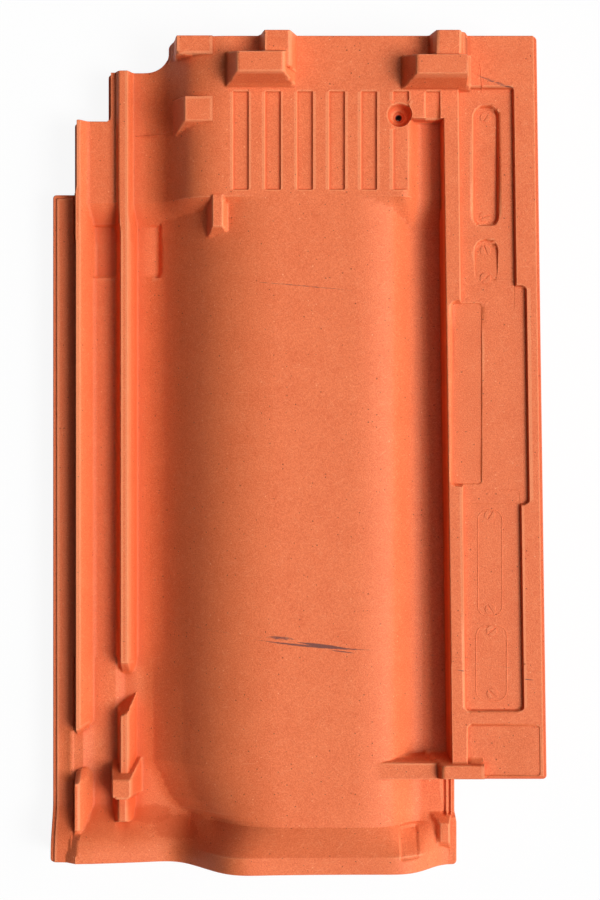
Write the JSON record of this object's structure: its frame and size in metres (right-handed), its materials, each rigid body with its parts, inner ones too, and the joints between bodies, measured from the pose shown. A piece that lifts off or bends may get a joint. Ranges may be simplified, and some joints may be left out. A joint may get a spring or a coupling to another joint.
{
  "type": "clay roof tile",
  "caption": "Interlocking clay roof tile with roll, pan, side locks, head nibs and front nose, lying with its underside up.",
  "frame": {"origin": "middle of the tile's length and width, at the level of the roll crown, on which the tile rests", "axes": "+X towards the water-lock edge, +Y towards the head edge with the nibs, +Z out of the underside; the weather face looks down"},
  "size_m": [0.28, 0.466, 0.066],
  "materials": {
    "fired_clay": "matt, unglazed"
  },
  "bodies": {
    "root": {"roof_tile": "fired_clay"}
  },
  "joints": []
}
